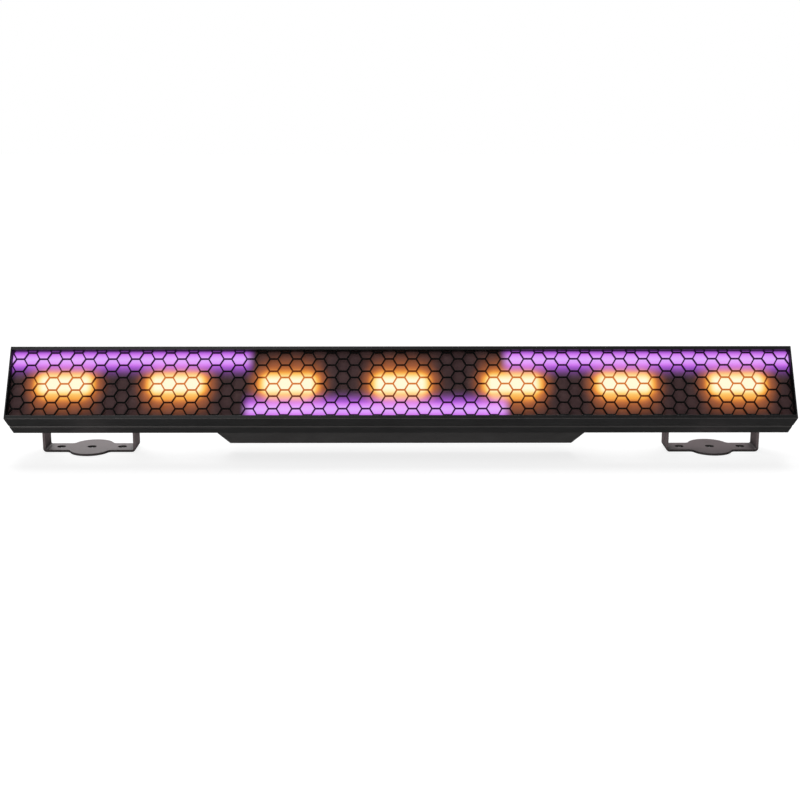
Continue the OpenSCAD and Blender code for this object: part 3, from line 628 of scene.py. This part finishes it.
def make_materials():
    """One material for each material slot of the record."""
    return {
        "black_anodised": housing_finish(),
        "black_screws": turned_metal("black_screws", (0.05, 0.05, 0.052), 0.4),
        "grille_black": grille_with_painted_glow(),
        "smoked_diffuser": frosted_diffuser(),
        "bare_aluminium": drawn_metal("bare_aluminium", (0.55, 0.55, 0.56), 0.35, metallic=1.0),
        "zinc_steel": turned_metal("zinc_steel", (0.6, 0.6, 0.58), 0.3),
        "black_plastic": coated("black_plastic", (0.018, 0.018, 0.019), 0.5, grain=1300),
        "white_board": board("white_board", (0.78, 0.78, 0.75), (0.62, 0.62, 0.58)),
        "led_packages": coated("led_packages", (0.8, 0.8, 0.76), 0.25, spread=0.05, specular=0.5),
        "reflector_metal": turned_metal("reflector_metal", (0.8, 0.8, 0.79), 0.2),
        # Black steel: light edges, partly scuffs and partly a painted highlight.
        "black_steel": coated("black_steel", (0.010, 0.010, 0.0104), 0.46, grain=1100, depth=0.00006,
                              specular=0.35, worn_and_highlit=(0.02, 0.02, 0.0205)),
        "display_acrylic": clear_plastic("display_acrylic", (0.004, 0.004, 0.006), 0.04, 0.0),
        "green_board": board("green_board", (0.02, 0.13, 0.045), (0.05, 0.26, 0.09)),
        "supply_board": board("supply_board", (0.26, 0.15, 0.045), (0.36, 0.25, 0.1)),
        "electronic_parts": coated("electronic_parts", (0.32, 0.26, 0.09), 0.4),
        "brass": turned_metal("brass", (0.78, 0.56, 0.22), 0.28),
        "wire_insulation": coated("wire_insulation", (0.4, 0.03, 0.025), 0.5),
        "button_plastic": coated("button_plastic", (0.035, 0.035, 0.037), 0.45, grain=1500),
        "blue_plastic": coated("blue_plastic", (0.03, 0.1, 0.34), 0.38, grain=1300),
        "grey_plastic": coated("grey_plastic", (0.5, 0.5, 0.48), 0.4, grain=1300, spread=0.08),
        "fuse_glass": clear_plastic("fuse_glass", (0.9, 0.95, 0.95), 0.02, 0.9),
        "lug_steel": coated("lug_steel", (0.02, 0.02, 0.021), 0.45, grain=1000, depth=0.00006),
        "friction_fibre": coated("friction_fibre", (0.16, 0.085, 0.05), 0.75, grain=1700, depth=0.0001),
        # Bracket steel: painted shade in its slots and inner corners, and light edges, partly scuffs and partly a
        # painted highlight.
        "bracket_steel": coated("bracket_steel", (0.148, 0.112, 0.116), 0.42, grain=1000, depth=0.00004,
                                spread=0.1, worn_and_highlit=(0.3, 0.29, 0.29), shade=0.03),
        "knob_plastic": coated("knob_plastic", (0.014, 0.014, 0.015), 0.48, grain=1500, depth=0.00006),
    }


# ---------------------------------------------------------------- markings on the back

# In mm, in the bar's own frame. The digits show 601, each as the strokes that are lit.
DISPLAY_MIDDLE = (-30, 0)
COVER_BACK = 93.5
DIGIT_PITCH = 10.5
DIGIT_WIDTH = 6
DIGIT_HEIGHT = 11
DIGIT_RELIEF = 0.03
STROKE = 1.1
STROKE_GAP = 0.25
DIGIT_LEAN = 0.1
SHOWN = ("acdefg", "abcdef", "bc")
BUTTON_FACE = 95.3
MARK_RELIEF = 0.12
BAR_MARK = (1.6, 0.25)
BAR_MARK_PLACES = (-1.3, 0, 1.3)
ARROW_MARK = [(-1.7, 1.1), (0, -1.6), (1.7, 1.1)]
RING_MARK = (1.1, 1.7)
RING_SLICES = 24


def prism(builder, outline, base, height, middle):
    """Raises an outline in (x, z) about a middle, as seen from behind, out of the back by a height in mm."""
    rings = []
    for depth in (base, base + height):
        rings.append([builder.verts.new(to_world(middle[0] - x, depth, middle[1] + z)) for x, z in outline])
    low, high = rings
    builder.faces.new(low)
    builder.faces.new(high[::-1])
    for i in range(len(outline)):
        j = (i + 1) % len(outline)
        builder.faces.new((low[j], low[i], high[i], high[j]))


def finished_piece(name, builder, material, body):
    """Makes a piece of the built mesh, on its body."""
    bmesh.ops.recalc_face_normals(builder, faces=builder.faces)
    mesh = bpy.data.meshes.new(name)
    builder.to_mesh(mesh)
    builder.free()
    mesh.materials.append(material)
    piece = bpy.data.objects.new(name, mesh)
    bpy.context.scene.collection.objects.link(piece)
    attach(piece, body)


def segment_outline(letter):
    """One stroke of a seven segment digit, pointed at both ends, centred on the digit."""
    across = DIGIT_WIDTH / 2
    up = DIGIT_HEIGHT / 2
    x, z, upright = {
        "a": (0, up, False), "b": (across, up / 2, True), "c": (across, -up / 2, True), "d": (0, -up, False),
        "e": (-across, -up / 2, True), "f": (-across, up / 2, True), "g": (0, 0, False),
    }[letter]
    half = (up / 2 if upright else across) - STROKE_GAP
    wide = STROKE / 2
    upper = [(-half, 0), (wide - half, wide), (half - wide, wide)]
    bar = upper + [(-u, -v) for u, v in upper]
    turned = [(v, u) if upright else (u, v) for u, v in bar]
    return [(x + u + DIGIT_LEAN * (z + v), z + v) for u, v in turned]


def make_digits(material):
    """Three lit digits in the display window."""
    builder = bmesh.new()
    for place, letters in enumerate(SHOWN):
        left = (place - 1) * DIGIT_PITCH
        for letter in letters:
            outline = [(left + x, z) for x, z in segment_outline(letter)]
            prism(builder, outline, COVER_BACK, DIGIT_RELIEF, DISPLAY_MIDDLE)
    finished_piece("display_digits", builder, material, "bar")


def bar_mark(z):
    """The outline of a short level bar."""
    across, up = BAR_MARK
    return [(-across, z - up), (across, z - up), (across, z + up), (-across, z + up)]


def ring_mark(low, high):
    """Outlines that together make a ring, as slices between two radii."""
    slices = []
    for i in range(RING_SLICES):
        a, b = (math.tau * k / RING_SLICES for k in (i, i + 1))
        corners = [(low, a), (high, a), (high, b), (low, b)]
        slices.append([(radius * math.cos(angle), radius * math.sin(angle)) for radius, angle in corners])
    return slices


def make_marks(material):
    """A plain printed sign on each menu button: menu, down, up, enter."""
    menu = [bar_mark(z) for z in BAR_MARK_PLACES]
    down = [ARROW_MARK]
    up = [[(x, -z) for x, z in ARROW_MARK]]
    signs = [menu, down, up, ring_mark(*RING_MARK)]
    for number, outlines in enumerate(signs, 1):
        node = f"menu_button_{number}"
        low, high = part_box(node)
        middle = (low[0] + high[0]) / 2 / MM
        builder = bmesh.new()
        for outline in outlines:
            prism(builder, outline, BUTTON_FACE, MARK_RELIEF, (middle, 0))
        finished_piece(f"{node}_mark", builder, material, node)


def glowing(name, colour, strength):
    """A lit display stroke with a slightly uneven glow."""
    material, tree, shader = new_material(name, {"Roughness": 0.3, "Emission Strength": strength})
    uneven = noise(tree, object_place(tree), scale=900, detail=2)
    dim = [c * 0.8 for c in colour]
    wire(tree, ramp(tree, uneven, [(0.35, dim), (0.65, colour)]), shader.inputs["Emission Color"])
    wire(tree, span(tree, uneven, 0.2, 0.4), shader.inputs["Roughness"])
    return material


make_camera()
make_world()
make_sun("key", from_front=-26, power=1.9, spread=50)
make_light("front_fill", place=(-0.6, -2.6, 1.1), size=(2.4, 1.4), power=4)
make_light("top_fill", place=(-0.9, -1.1, 2.4), size=(1.6, 1.0), power=9)
make_light("back_fill", place=(-0.8, 1.3, 0.9), size=(1.0, 0.8), power=5.2)
make_floor()

materials = make_materials()
for part in frame["record"]["subparts"]:
    shown = frame["nodes"][part["node"]]
    shown.data.materials.clear()
    shown.data.materials.append(materials[part["material_slot"]])

make_digits(glowing("lit_digits", (0.25, 0.55, 1.0), 2.2))
make_marks(coated("mark_print", (0.55, 0.55, 0.53), 0.5, spread=0.1))

scene = bpy.context.scene
scene.view_settings.view_transform = "Standard"
scene.view_settings.look = "None"
